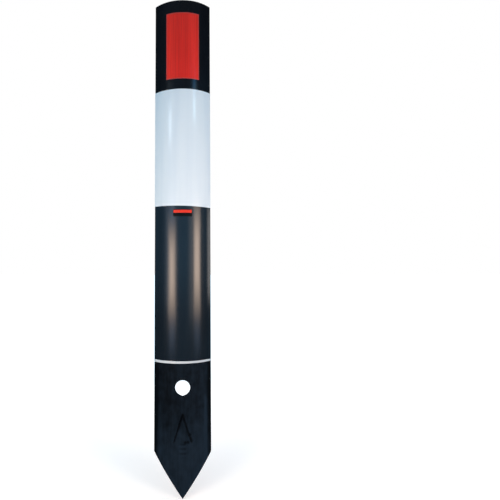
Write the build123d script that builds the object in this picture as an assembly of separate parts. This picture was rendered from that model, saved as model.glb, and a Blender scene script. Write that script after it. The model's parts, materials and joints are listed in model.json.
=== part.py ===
from build123d import *
import math
import os

# A flexible verge post: a curved polymer blade with a pointed stake, a fold zone just above the ground,
# a barb cut out of the stake, a white band, a ground line, two reflectors and a blank label.
# Millimetres. +Z is up, -Y is the bowed front, +X is to the right seen from the front.
# The origin is on the blade's neutral axis, level with the ground line.

# Blade
above_ground = 1000.0  # ground line to the top edge
below_ground = 353.0  # ground line to the tip of the point
blade_width = 155.0  # straight across, edge to edge
blade_bow = 30.8  # the middle of the front face stands this far ahead of its edges
blade_wall = 4.0
edge_round = 1.2  # rounding along the blade's long edges
round_share = 0.4  # the most of the wall that one rounding may take
point_height = 109.0  # tip to the shoulders

# Fold zone
first_bend = 20.0  # ground line to the lowest bend line
bend_pitch = 30.0
bend_count = 6

# Hole for a ground bar, and the barb below it
hole_depth = 66.5  # ground line to the hole's centre
hole_diameter = 40.0
barb_root_depth = 210.0  # ground line to the barb's uncut lower edge
barb_height = 73.0
barb_width = 46.0
barb_kerf = 1.5  # width of the two slanting cuts, which the swinging barb needs
barb_root_gap = 0.2  # parting line at the barb's lower edge

# Films stuck to the blade
glue_line = 0.05  # clearance between each film and what it is stuck to
wrap_film = 0.25  # thickness of the white band, the ground line and the label
ground_line_height = 6.0
band_height = 325.5
label_width = 52.0
label_height = 19.0
label_round = 2.0
label_drop = 10.0  # white band to label

# Reflectors, alike on both faces
reflector_width = 94.0  # along the curve
reflector_height = 189.0
reflector_drop = 35.5  # top edge to reflector
reflector_to_band = 29.0
reflector_round = 1.5
backing_sheet = 0.3
face_sheet = 0.5
seal_sheet = 0.35
seal_width = 2.5

# The blade's section, worked out from its width, bow and wall
half_width = blade_width / 2
front_radius = (half_width**2 + blade_bow**2) / (2 * blade_bow)
rear_radius = front_radius - blade_wall
middle_radius = front_radius - blade_wall / 2
corner_radius = min(edge_round, round_share * blade_wall)
rounding_reach = front_radius - corner_radius
flank_angle = math.asin((half_width - corner_radius) / rounding_reach)
half_angle = flank_angle + math.asin(corner_radius / rounding_reach)
sector_reach = 2 / 3 * (front_radius**3 - rear_radius**3) / (front_radius**2 - rear_radius**2)
bow_centre = sector_reach * math.sin(half_angle) / half_angle  # neutral axis back to the curve's centre
through = 2 * blade_width  # cutters reach this far past the blade, front and back

# Heights, measured from the ground line
last_bend = first_bend + (bend_count - 1) * bend_pitch
reflector_bottom = above_ground - reflector_drop - reflector_height
band_top = reflector_bottom - reflector_to_band
band_bottom = band_top - band_height
label_bottom = band_bottom - label_drop - label_height
label_area = (label_width, label_height, label_bottom)


def ring_sector(outer, inner, half_turn):
    """A flat curved strip centred on the front, between two radii, half_turn radians to each side."""
    start = 270 - math.degrees(half_turn)
    sweep = 2 * math.degrees(half_turn)
    front = CenterArc((0, bow_centre), outer, start, sweep)
    rear = CenterArc((0, bow_centre), inner, start, sweep)
    left = Line(front @ 0, rear @ 0)
    right = Line(front @ 1, rear @ 1)
    return make_face([front, right, rear, left])


def blade_section(grow=0.0):
    """The blade's section with rounded edges, grown all round by a film's lift or thickness."""
    strip = ring_sector(front_radius + grow, rear_radius - grow, half_angle + grow / middle_radius)
    return fillet(strip.vertices(), corner_radius + grow)


def blade_length(bottom, top, grow=0.0):
    """A length of the blade between two heights."""
    return Pos(0, 0, bottom) * extrude(blade_section(grow), top - bottom)


def upright_prism(points):
    """A prism that runs front to back, from points of its outline in X and Z."""
    outline = make_face(Polyline(*points, close=True))
    return extrude(Plane.XZ * outline, through, both=True)


def wrap(bottom, top):
    """A film wrapped right round the blade between two heights."""
    skin = blade_length(bottom, top, glue_line + wrap_film)
    return skin - blade_length(bottom, top, glue_line)


def front_band(lift, thickness):
    """The two radii of a sheet on the front face, outer one first, lifted off the blade."""
    inner = front_radius + lift
    return inner + thickness, inner


def rear_band(lift, thickness):
    """The two radii of a sheet on the rear face, outer one first, lifted off the blade."""
    outer = rear_radius - lift
    return outer, outer - thickness


def curved_sheet(radii, area, corner):
    """A sheet bent to the blade. Its area is its width along the curve, its height and its lower edge."""
    outer, inner = radii
    width, height, bottom = area
    sheet = extrude(ring_sector(outer, inner, width / (outer + inner)), height)
    across = sheet.edges().filter_by(lambda edge: edge.length < 2 * (outer - inner))
    return Pos(0, 0, bottom) * fillet(across, corner)


def inset(area, margin):
    """An area with the same margin taken off all four sides."""
    width, height, bottom = area
    return width - 2 * margin, height - 2 * margin, bottom + margin


def barb_outline(widen, drop):
    """The barb's triangle, widened square to its slanting sides and let down at its lower edge."""
    half_base = barb_width / 2
    slant = math.hypot(half_base, barb_height)
    root = -barb_root_depth
    low_half = half_base + widen * slant / barb_height + drop * half_base / barb_height
    apex = root + barb_height + widen * slant / half_base
    return [(-low_half, root - drop), (low_half, root - drop), (0, apex)]


def stake_blade():
    """The stake: pointed below, with the hole and the barb's slot, up to the lowest bend line."""
    slope = point_height / half_width
    wide = blade_width
    flank = -below_ground + slope * wide
    outline = [(0, -below_ground), (wide, flank), (wide, above_ground), (-wide, above_ground), (-wide, flank)]
    stake = blade_length(-below_ground, first_bend) & upright_prism(outline)
    hole = Plane.XZ * Pos(0, -hole_depth) * Cylinder(hole_diameter / 2, 2 * through)
    slot = upright_prism(barb_outline(barb_kerf, barb_root_gap))
    return stake - hole - slot


def anchor_barb():
    """The tongue inside the slot, on the blade's own curve."""
    around = blade_length(-barb_root_depth, -barb_root_depth + barb_height)
    return around & upright_prism(barb_outline(0, 0))


def reflector(colour, band):
    """Backing, face and sealed border of one reflector, as named solids."""
    face_lift = glue_line + backing_sheet + glue_line
    whole = (reflector_width, reflector_height, reflector_bottom)
    window = inset(whole, seal_width)
    pane = inset(window, glue_line)
    border = curved_sheet(band(face_lift, seal_sheet), whole, reflector_round)
    opening = curved_sheet(band(glue_line, 2 * face_lift + seal_sheet), window, reflector_round)
    return {
        f"{colour}_reflector_backing": curved_sheet(band(glue_line, backing_sheet), whole, reflector_round),
        f"{colour}_reflector_face": curved_sheet(band(face_lift, face_sheet), pane, reflector_round),
        f"{colour}_reflector_seal": border - opening,
    }


nodes = {
    "stake_blade": stake_blade(),
    "anchor_barb": anchor_barb(),
    "upper_blade": blade_length(last_bend, above_ground),
    "ground_line": wrap(-ground_line_height / 2, ground_line_height / 2),
    "white_band": wrap(band_bottom, band_top),
    "blank_label": curved_sheet(front_band(glue_line, wrap_film), label_area, label_round),
}
for link in range(1, bend_count):
    link_bottom = first_bend + (link - 1) * bend_pitch
    nodes[f"flex_link_{link}"] = blade_length(link_bottom, link_bottom + bend_pitch)
nodes.update(reflector("red", front_band))
nodes.update(reflector("white", rear_band))

os.makedirs("parts", exist_ok=True)
for name, shape in nodes.items():
    export_step(shape, f"parts/{name}.step")
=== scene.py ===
"""Dresses the flexible verge post: a bowed blade on a pointed stake, its films, reflectors and label."""
import json
import logging
import math
from collections.abc import Callable
from dataclasses import dataclass, field, replace
from enum import Enum
from functools import cached_property

import bmesh
import bpy
import numpy as np
from bpy.types import Material, Mesh, Node, NodeOutputs, NodeSocket, NodeTree, Object
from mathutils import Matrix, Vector
from mathutils.geometry import delaunay_2d_cdt


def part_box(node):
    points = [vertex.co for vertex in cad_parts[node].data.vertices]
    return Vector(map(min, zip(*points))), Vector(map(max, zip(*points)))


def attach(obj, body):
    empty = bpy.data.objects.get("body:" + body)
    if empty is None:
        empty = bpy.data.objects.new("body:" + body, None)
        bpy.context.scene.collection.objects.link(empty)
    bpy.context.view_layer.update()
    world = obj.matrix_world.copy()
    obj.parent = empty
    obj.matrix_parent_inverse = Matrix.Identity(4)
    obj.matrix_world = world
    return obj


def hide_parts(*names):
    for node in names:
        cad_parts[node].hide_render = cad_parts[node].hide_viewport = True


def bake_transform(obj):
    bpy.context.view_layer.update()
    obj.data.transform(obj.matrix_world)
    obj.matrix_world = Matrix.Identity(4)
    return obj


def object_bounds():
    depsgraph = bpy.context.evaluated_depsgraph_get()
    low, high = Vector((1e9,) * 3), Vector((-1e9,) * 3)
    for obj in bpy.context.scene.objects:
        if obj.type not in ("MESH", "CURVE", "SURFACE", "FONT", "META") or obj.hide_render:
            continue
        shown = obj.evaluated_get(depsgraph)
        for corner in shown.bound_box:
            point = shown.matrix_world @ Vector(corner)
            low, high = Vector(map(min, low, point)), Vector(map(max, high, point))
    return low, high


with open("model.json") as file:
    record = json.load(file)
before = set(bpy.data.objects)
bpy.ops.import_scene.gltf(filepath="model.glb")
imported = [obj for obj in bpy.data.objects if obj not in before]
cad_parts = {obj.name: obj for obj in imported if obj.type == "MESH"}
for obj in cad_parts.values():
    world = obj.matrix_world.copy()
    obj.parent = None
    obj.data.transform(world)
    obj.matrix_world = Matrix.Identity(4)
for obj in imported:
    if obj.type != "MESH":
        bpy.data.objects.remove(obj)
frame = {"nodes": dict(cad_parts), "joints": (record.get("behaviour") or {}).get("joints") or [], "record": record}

CAD_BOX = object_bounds()
LOG = logging.getLogger("verge_post")
MARK = "blade"  # attribute: each point's rest place on the unrolled blade as arc, depth and height in metres

MM = 0.001
GLUE = 0.05 * MM  # clearance between a film and what it is stuck to
FILM = 0.25 * MM  # thickness of the tape, the band and the label
SHARP_ANGLE = math.radians(38)  # steeper edges than this are cut edges, not rounded ones

# How finely the meshes are made
MERGE = 1e-7  # points nearer than this become one
CLEAR_SHARE = 0.6  # the points inside a sheet keep this share of their spacing from its edges
SMALLEST_TURN = 0.05  # sine of the smallest turn in an outline that counts as a corner
EDGE_STEPS = 3  # steps round a sheet's edge
CORNER_STEPS = 6  # steps round an outline's corner
LENGTH_GRID = {"Columns": 81, "Layers": 13}  # points across and through a length of the blade
WRAP_STEPS = (96, 10)  # steps across a face and round a long edge of a wrapped film

# Kinds of node that are used often
MATH = "ShaderNodeMath"
VECTOR_MATH = "ShaderNodeVectorMath"
MAP_RANGE = "ShaderNodeMapRange"
MIX = "ShaderNodeMix"
SPLIT = "ShaderNodeSeparateXYZ"
JOIN = "ShaderNodeCombineXYZ"
STORE = "GeometryNodeStoreNamedAttribute"
MOVE = "GeometryNodeSetPosition"
COMPARE = "FunctionNodeCompare"

Span = tuple[float, float]
Grain = tuple[float, float, float]  # size of a pattern along the arc, through the wall and upwards, in mm
Run = list[tuple[float, float, float]]  # outline: arc, height and rounding of the edge that starts there
Place = Callable[[float, float, float], Vector]  # point from an arc, a height and a share of the wall
Source = Node | NodeSocket | float  # what fills an input: a node's first output, a socket or a value
Patterns = tuple[Source, Source, Source | None]  # of a finish's colour, its gloss and its relief, if any


def linear(hex_colour: str) -> tuple[float, float, float, float]:
    """Turns an sRGB hex colour into linear RGBA.

    Args:
        hex_colour: Six hex digits after a hash sign.
    Returns:
        Red, green, blue and an alpha of 1.
    """
    parts = [int(hex_colour[n:n + 2], 16) / 255 for n in (1, 3, 5)]
    red, green, blue = (p / 12.92 if p <= 0.04045 else ((p + 0.055) / 1.055) ** 2.4 for p in parts)
    return red, green, blue, 1.0


def ease(low: float, high: float, value: float) -> float:
    """Rises smoothly from 0 at low to 1 at high."""
    share = min(max((value - low) / (high - low), 0.0), 1.0)
    return share * share * (3 - 2 * share)


def add_node(tree: NodeTree, kind: str, links: dict | None = None, **settings: object) -> Node:
    """Adds a node, sets it up and fills its inputs.

    Args:
        tree: The tree that gets the node.
        kind: Blender's name for the kind of node.
        links: Input name or number, with a node or a socket to link or a value to set.
        settings: Properties of the node itself.
    Returns:
        The new node.
    """
    node = tree.nodes.new(kind)
    for name, value in settings.items():
        setattr(node, name, value)
    for key, value in (links or {}).items():
        source = value.outputs[0] if isinstance(value, Node) else value
        if isinstance(source, NodeSocket):
            tree.links.new(source, node.inputs[key])
        else:
            node.inputs[key].default_value = source
    return node


def distance(tree: NodeTree, place: Source, spot: Span) -> NodeSocket:
    """Adds the distance along the unrolled face from a spot.

    Args:
        tree: The material's tree.
        place: Place on the unrolled blade.
        spot: Arc and height of the spot in mm.
    Returns:
        The distance in metres.
    """
    flat = add_node(tree, VECTOR_MATH, {0: place, 1: (1.0, 0.0, 1.0)}, operation="MULTIPLY")
    there = (spot[0] * MM, 0.0, spot[1] * MM)
    return add_node(tree, VECTOR_MATH, {0: flat, 1: there}, operation="DISTANCE").outputs["Value"]


@dataclass(frozen=True)
class Fade:
    """A level that changes smoothly between two places in mm, or two distances in mm from a middle."""

    start: float
    end: float
    before: float = 0.0
    after: float = 1.0
    middle: float | None = None

    def at(self, length: float) -> float:
        """The level at a length in metres."""
        away = length if self.middle is None else abs(length - self.middle * MM)
        return self.before + (self.after - self.before) * ease(self.start * MM, self.end * MM, away)

    def over(self, tree: NodeTree, length: Source) -> Node:
        """Adds the level at a length to a tree.

        Args:
            tree: The material's tree.
            length: The length in metres.
        Returns:
            The level.
        """
        if self.middle is not None:
            off = add_node(tree, MATH, {0: length, 1: self.middle * MM}, operation="SUBTRACT")
            length = add_node(tree, MATH, {0: off}, operation="ABSOLUTE")
        return add_node(tree, MAP_RANGE, {
            "Value": length, "From Min": self.start * MM, "From Max": self.end * MM, "To Min": self.before,
            "To Max": self.after}, interpolation_type="SMOOTHSTEP")


class Face(Enum):
    """The two faces of the blade, with the way that each one faces along the radius."""

    FRONT = 1
    REAR = -1


@dataclass(frozen=True)
class BladeCurve:
    """The blade's section: a strip bent to an arc about an upright line, with rounded long edges. Metres."""

    width: float
    front_y: float
    bow: float = 30.8 * MM
    wall: float = 4.0 * MM
    edge_round: float = 1.2 * MM

    @property
    def front_radius(self) -> float:
        """Radius of the bowed front face."""
        return ((self.width / 2) ** 2 + self.bow**2) / (2 * self.bow)

    @property
    def rear_radius(self) -> float:
        """Radius of the hollow rear face."""
        return self.front_radius - self.wall

    @property
    def middle_radius(self) -> float:
        """Radius half way through the wall."""
        return self.front_radius - self.wall / 2

    @property
    def centre_y(self) -> float:
        """Place of the upright line that the blade is bent about."""
        return self.front_y + self.front_radius

    @property
    def half_angle(self) -> float:
        """Turn from the middle of the blade to one long edge."""
        reach = self.front_radius - self.edge_round
        return math.asin((self.width / 2 - self.edge_round) / reach) + math.asin(self.edge_round / reach)

    @property
    def half_arc(self) -> float:
        """Arc length on the front face from its middle to one long edge."""
        return self.half_angle * self.front_radius

    @property
    def flat_angle(self) -> float:
        """Turn from the middle of the blade to where a long edge starts to round."""
        return self.half_angle - self.edge_round / self.middle_radius

    def polar(self, angle: float, radius: float, height: float) -> Vector:
        """The point at an angle from the front's middle and a radius about the centre line."""
        return Vector((radius * math.sin(angle), self.centre_y - radius * math.cos(angle), height))

    def arc_at(self, across: float) -> float:
        """Arc length on the front face up to a place straight across it."""
        return self.front_radius * math.asin(across / self.front_radius)

    def cut_point(self, arc: float, height: float, share: float, square: float) -> Vector:
        """A point in the wall beside a cut.

        Args:
            arc: Arc length on the front face.
            height: Height above the ground line.
            share: 0 on the front face, 1 on the rear face.
            square: 1 where the cut runs straight front to back, 0 where it follows the radius.
        Returns:
            The point in the frame.
        """
        front = self.polar(arc / self.front_radius, self.front_radius, height)
        across = front.x * (self.rear_radius / self.front_radius * (1 - square) + square)
        rear = self.polar(math.asin(across / self.rear_radius), self.rear_radius, height)
        return front.lerp(rear, share)

    def ring(self, grow: float, columns: int, layers: int) -> list[Span]:
        """Points right round the section.

        Args:
            grow: How far the ring stands off the blade.
            columns: Steps across one face.
            layers: Steps round one long edge.
        Returns:
            The angle of each point and its depth behind the middle of the wall.
        """
        deep = self.wall / 2 + grow
        corner = self.edge_round + grow
        half = [(self.flat_angle * (2 * n / columns - 1), -deep) for n in range(columns)]
        for n in range(layers):
            depth = deep * math.sin(math.pi / 2 * (2 * n / layers - 1))
            past_flat = max(abs(depth) - (deep - corner), 0.0)
            bulge = math.sqrt(max(corner**2 - past_flat**2, 0.0))
            half.append((self.flat_angle + bulge / self.middle_radius, depth))
        return half + [(-angle, -depth) for angle, depth in half]


def divided(run: Run, pitch: float) -> Run:
    """Divides a closed run into steps no longer than a pitch.

    Args:
        run: The run's corners.
        pitch: The longest step.
    Returns:
        The run with points added on its edges.
    """
    finer = []
    for (arc, height, edge), (arc_2, height_2, _) in zip(run, run[1:] + run[:1]):
        steps = max(1, math.ceil(math.hypot(arc_2 - arc, height_2 - height) / pitch))
        finer += [(arc + (arc_2 - arc) * n / steps, height + (height_2 - height) * n / steps, edge)
                  for n in range(steps)]
    return finer


def rounded_rectangle(width: float, bottom: float, top: float, corner: float, edge: float) -> Run:
    """A rectangle with round corners, counter-clockwise.

    Args:
        width: Its width along the arc, centred on the blade.
        bottom: Height of its lower side.
        top: Height of its upper side.
        corner: Radius of its corners.
        edge: Rounding of its edges.
    Returns:
        Its run.
    """
    reach, middle = width / 2 - corner, (bottom + top) / 2
    rise = (top - bottom) / 2 - corner
    run = []
    for quarter, (side, up) in enumerate(((1, -1), (1, 1), (-1, 1), (-1, -1))):
        for n in range(CORNER_STEPS + 1):
            turn = math.pi / 2 * (quarter - 1 + n / CORNER_STEPS)
            arc = side * reach + corner * math.cos(turn)
            run.append((arc, middle + up * rise + corner * math.sin(turn), edge))
    return run


def inset_steps(flat: np.ndarray, edges: np.ndarray) -> np.ndarray:
    """Moves of a run's points into the sheet, so that each edge moves by its own rounding.

    Args:
        flat: Arc and height of each point, with the sheet on the left of the way round.
        edges: Rounding of the edge that starts at each point.
    Returns:
        The move of each point.
    """
    along = np.roll(flat, -1, 0) - flat
    along /= np.linalg.norm(along, axis=1, keepdims=True)
    inward = np.stack((-along[:, 1], along[:, 0]), 1)
    before, edge_before = np.roll(inward, 1, 0), np.roll(edges, 1)
    turn = before[:, 0] * inward[:, 1] - before[:, 1] * inward[:, 0]
    straight = np.abs(turn) < SMALLEST_TURN
    safe = np.where(straight, 1.0, turn)
    corner = np.stack((edge_before * inward[:, 1] - edges * before[:, 1],
                       edges * before[:, 0] - edge_before * inward[:, 0]), 1) / safe[:, None]
    plain = inward * ((edges + edge_before) / 2)[:, None]
    return np.where(straight[:, None], plain, corner)


def within(flat: np.ndarray, rim: np.ndarray) -> np.ndarray:
    """Tells which points lie inside a closed rim, by counting its crossings to their right.

    Args:
        flat: Arc and height of each point.
        rim: Arc and height of the rim's points.
    Returns:
        True for each point inside.
    """
    start, end = rim, np.roll(rim, -1, 0)
    high = flat[:, 1:2]
    crosses = (start[:, 1] > high) != (end[:, 1] > high)
    rise = np.where(end[:, 1] == start[:, 1], 1.0, end[:, 1] - start[:, 1])
    at = start[:, 0] + (high - start[:, 1]) / rise * (end[:, 0] - start[:, 0])
    return (crosses & (at > flat[:, 0:1])).sum(1) % 2 == 1


def inner_grid(rims: list[np.ndarray], pitch: float) -> np.ndarray:
    """An even grid of points inside a sheet, clear of its edges.

    Args:
        rims: The sheet's outer rim, then its holes'.
        pitch: Spacing of the grid.
    Returns:
        Arc and height of each point.
    """
    low, high = rims[0].min(0), rims[0].max(0)
    count = np.maximum(np.round((high - low) / pitch).astype(int), 2)
    axes = [np.linspace(low[n], high[n], count[n] + 1) for n in (0, 1)]
    points = np.stack(np.meshgrid(*axes), -1).reshape(-1, 2)
    kept = within(points, rims[0])
    for hole in rims[1:]:
        kept &= ~within(points, hole)
    points = points[kept]
    near = [np.linalg.norm(points[:, None] - rim[None], axis=2).min(1) < CLEAR_SHARE * pitch for rim in rims]
    return points[~np.any(near, axis=0)]


def filled(rims: list[np.ndarray], pitch: float) -> tuple[np.ndarray, list[list[int]], dict[int, int]]:
    """Fills a sheet with even triangles.

    Args:
        rims: The sheet's outer rim, then its holes'.
        pitch: Spacing of the points inside it.
    Returns:
        The points, the triangles, and the number that each rim point has among the points.
    """
    flat = np.concatenate([*rims, inner_grid(rims, pitch)])
    starts = np.cumsum([0] + [len(rim) for rim in rims])
    borders = [(int(first + n), int(first + (n + 1) % len(rim)))
               for first, rim in zip(starts, rims) for n in range(len(rim))]
    points, _, faces, origins, _, _ = delaunay_2d_cdt([Vector(p) for p in flat], borders, [], 1, MERGE, True)
    points = np.array([tuple(p) for p in points])
    middles = np.array([points[list(face)].mean(0) for face in faces])
    in_hole = np.zeros(len(faces), bool)
    for rim in rims[1:]:
        in_hole |= within(middles, rim)
    numbers = {old: new for new, olds in enumerate(origins) for old in olds}
    return points, [face for face, hidden in zip(faces, in_hole) if not hidden], numbers


def finished_mesh(name: str, model: bmesh.types.BMesh) -> Mesh:
    """Closes a model's seams, points its faces outwards and turns it into a smooth mesh with sharp cuts.

    Args:
        name: Name of the mesh.
        model: The model, which is used up.
    Returns:
        The mesh.
    """
    bmesh.ops.remove_doubles(model, verts=model.verts, dist=MERGE)
    bmesh.ops.recalc_face_normals(model, faces=model.faces)
    mesh = bpy.data.meshes.new(name)
    model.to_mesh(mesh)
    model.free()
    mesh.polygons.foreach_set("use_smooth", [True] * len(mesh.polygons))
    mesh.set_sharp_from_angle(angle=SHARP_ANGLE)
    return mesh


def plate_mesh(name: str, runs: list[Run], pitch: float, thickness: float, place: Place) -> Mesh:
    """Makes a closed sheet with rounded edges, laid on a curved surface.

    Args:
        name: Name of the mesh.
        runs: The outer run counter-clockwise, then the holes clockwise.
        pitch: Spacing of the points on its faces.
        thickness: Thickness of the sheet.
        place: Gives a point from an arc, a height and a share of the thickness.
    Returns:
        The mesh, marked with its rest places.
    """
    loops = [np.array(divided(run, pitch)) for run in runs]
    moves = [inset_steps(loop[:, :2], loop[:, 2]) for loop in loops]
    points, faces, numbers = filled([loop[:, :2] + move for loop, move in zip(loops, moves)], pitch)
    model = bmesh.new()
    mark = model.verts.layers.float_vector.new(MARK)

    def vertex(arc: float, height: float, share: float) -> bmesh.types.BMVert:
        """Adds a vertex with its mark.

        Args:
            arc: Its place along the curve.
            height: Its height.
            share: Its depth as a share of the thickness.
        Returns:
            The vertex.
        """
        made = model.verts.new(place(arc, height, share))
        made[mark] = Vector((arc, share * thickness, height))
        return made

    front, rear = [[vertex(*point, share) for point in points] for share in (0.0, 1.0)]
    for face in faces:
        model.faces.new([front[n] for n in face])
        model.faces.new([rear[n] for n in reversed(face)])
    bends = [math.pi / 2 * (step + 1) / EDGE_STEPS for step in range(EDGE_STEPS)]
    first = 0
    for loop, move in zip(loops, moves):
        edge = np.maximum(loop[:, 2], np.roll(loop[:, 2], 1))
        columns = []
        for n, (arc, height, _) in enumerate(loop):
            column = []
            for bend in bends:
                back = move[n] * (1 - math.sin(bend))
                column.append((arc + back[0], height + back[1], edge[n] * (1 - math.cos(bend)) / thickness))
            ahead = [vertex(*spot) for spot in column]
            behind = [vertex(a, h, 1 - share) for a, h, share in reversed(column)]
            inner = numbers[first + n]
            columns.append([front[inner], *ahead, *behind, rear[inner]])
        for left, right in zip(columns, columns[1:] + columns[:1]):
            for corners in zip(left, left[1:], right[1:], right):
                model.faces.new(corners)
        first += len(loop)
    bmesh.ops.dissolve_degenerate(model, dist=MERGE, edges=model.edges)
    return finished_mesh(name, model)


@dataclass(frozen=True)
class FilmSeat:
    """Where a film lies: on a face of the blade, lifted off it, with a thickness. Metres."""

    curve: BladeCurve
    face: Face
    lift: float
    thickness: float

    def radius(self, share: float) -> float:
        """Radius of the film, from its open side at 0 to its stuck side at 1."""
        bare = self.curve.front_radius if self.face is Face.FRONT else self.curve.rear_radius
        return bare + self.face.value * (self.lift + self.thickness * (1 - share))

    def place(self, arc: float, height: float, share: float) -> Vector:
        """The point at an arc length along the film, a height and a share of its thickness."""
        return self.curve.polar(arc / self.radius(0.5), self.radius(share), height)

    def sheet(self, name: str, runs: list[Run], pitch: float) -> Mesh:
        """Makes a film with these runs."""
        return plate_mesh(name, runs, pitch, self.thickness, self.place)

    def full_arc(self, half_width: float, share: float) -> float:
        """Arc length of the whole film at a share of its thickness, from half its width straight across."""
        return 2 * self.radius(share) * math.asin(half_width / self.radius(share))


def new_object(mesh: Mesh) -> Object:
    """Puts a mesh into the scene as an object at the origin.

    Args:
        mesh: The mesh.
    Returns:
        The object, under the mesh's name.
    """
    made = bpy.data.objects.new(mesh.name, mesh)
    bpy.context.scene.collection.objects.link(made)
    return made


def new_tree(name: str, inputs: dict[str, tuple[str, ...]]) -> tuple[NodeTree, NodeOutputs]:
    """Starts a geometry tree with named inputs and one geometry output.

    Args:
        name: Name of the tree.
        inputs: Kinds of socket, with the names of the inputs of that kind.
    Returns:
        The tree and the sockets that give its inputs.
    """
    tree = bpy.data.node_groups.new(name, "GeometryNodeTree")
    for kind, labels in inputs.items():
        for label in labels:
            tree.interface.new_socket(label, in_out="INPUT", socket_type=f"NodeSocket{kind}")
    tree.interface.new_socket("Geometry", in_out="OUTPUT", socket_type="NodeSocketGeometry")
    return tree, add_node(tree, "NodeGroupInput").outputs


def bent_place(tree: NodeTree, angle: Source, radius: Source, height: Source, centre: Source) -> Node:
    """Adds the nodes that turn an angle, a radius and a height into a place on the blade's curve.

    Args:
        tree: The geometry tree.
        angle: Turn from the middle of the front.
        radius: Distance from the centre line.
        height: Height above the ground line.
        centre: Place of the centre line.
    Returns:
        The place.
    """
    ahead = add_node(tree, MATH, {0: centre, 1: radius}, operation="SUBTRACT")
    start = add_node(tree, JOIN, {1: ahead, 2: height})
    pivot = add_node(tree, JOIN, {1: centre})
    return add_node(tree, "ShaderNodeVectorRotate", {"Vector": start, "Center": pivot, "Angle": angle},
                    rotation_type="Z_AXIS")


def close_tree(tree: NodeTree, shape: Source, finish: Source) -> None:
    """Ends a geometry tree: real geometry, smooth faces, sharp cuts and a material.

    Args:
        tree: The geometry tree.
        shape: The geometry so far.
        finish: The material.
    """
    real = add_node(tree, "GeometryNodeRealizeInstances", {"Geometry": shape})
    smooth = add_node(tree, "GeometryNodeSetShadeSmooth", {"Geometry": real})
    angle = add_node(tree, "GeometryNodeInputMeshEdgeAngle").outputs["Unsigned Angle"]
    cut = add_node(tree, COMPARE, {0: angle, 1: SHARP_ANGLE}, operation="GREATER_THAN", data_type="FLOAT")
    sharp = add_node(tree, STORE, {"Geometry": smooth, "Name": "sharp_edge", "Value": cut},
                     data_type="BOOLEAN", domain="EDGE")
    dressed = add_node(tree, "GeometryNodeSetMaterial", {"Geometry": sharp, "Material": finish})
    add_node(tree, "NodeGroupOutput", {0: dressed})


def blade_length_tree() -> NodeTree:
    """A geometry tree that makes a plain length of the blade: a box with its long edges rounded, then bent.

    Returns:
        The tree.
    """
    tree, size = new_tree("Blade length", {
        "Float": ("Middle radius", "Half wall", "Flat angle", "Edge round", "Centre", "Bottom", "Top"),
        "Int": ("Columns", "Layers", "Rows"), "Material": ("Finish",)})
    middle, wall, rounding = size["Middle radius"], size["Half wall"], size["Edge round"]
    box = add_node(tree, "GeometryNodeMeshCube", {"Size": (2, 2, 1), "Vertices X": size["Columns"],
                                                  "Vertices Y": size["Layers"], "Vertices Z": size["Rows"]})
    across, through, up = add_node(tree, SPLIT, {0: add_node(tree, "GeometryNodeInputPosition")}).outputs
    # The layers crowd towards both faces, where the long edges round
    turn = add_node(tree, MATH, {0: through, 1: math.pi / 2}, operation="MULTIPLY")
    sine = add_node(tree, MATH, {0: turn}, operation="SINE")
    depth = add_node(tree, MATH, {0: sine, 1: wall}, operation="MULTIPLY")
    flat = add_node(tree, MATH, {0: wall, 1: rounding}, operation="SUBTRACT")
    far = add_node(tree, MATH, {0: depth}, operation="ABSOLUTE")
    past = add_node(tree, MATH, {0: far, 1: flat}, operation="SUBTRACT")
    past = add_node(tree, MATH, {0: past, 1: 0.0}, operation="MAXIMUM")
    share = add_node(tree, MATH, {0: past, 1: rounding}, operation="DIVIDE")
    lean = add_node(tree, MATH, {0: share}, operation="ARCSINE")
    bulge = add_node(tree, MATH, {0: lean}, operation="COSINE")
    bulge = add_node(tree, MATH, {0: bulge, 1: rounding}, operation="MULTIPLY")
    bulge = add_node(tree, MATH, {0: bulge, 1: middle}, operation="DIVIDE")
    # Only the outermost columns, at -1 and 1, bulge: pushed out a little, only they have a whole part
    pushed_out = 1.001
    outer = add_node(tree, MATH, {0: across, 1: pushed_out}, operation="MULTIPLY")
    outer = add_node(tree, MATH, {0: outer}, operation="TRUNC")
    bulge = add_node(tree, MATH, {0: bulge, 1: outer}, operation="MULTIPLY")
    angle = add_node(tree, MATH, {0: across, 1: size["Flat angle"], 2: bulge}, operation="MULTIPLY_ADD")
    radius = add_node(tree, MATH, {0: middle, 1: depth}, operation="SUBTRACT")
    height = add_node(tree, MAP_RANGE, {"Value": up, "From Min": -0.5, "From Max": 0.5,
                                        "To Min": size["Bottom"], "To Max": size["Top"]})
    arc = add_node(tree, MATH, {0: angle, 1: middle}, operation="MULTIPLY")
    unrolled = add_node(tree, JOIN, {0: arc, 1: depth, 2: height})
    marked = add_node(tree, STORE, {"Geometry": box, "Name": MARK, "Value": unrolled},
                      data_type="FLOAT_VECTOR", domain="POINT")
    place = bent_place(tree, angle, radius, height, size["Centre"])
    bent = add_node(tree, MOVE, {"Geometry": marked, "Position": place})
    close_tree(tree, bent, size["Finish"])
    return tree


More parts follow.
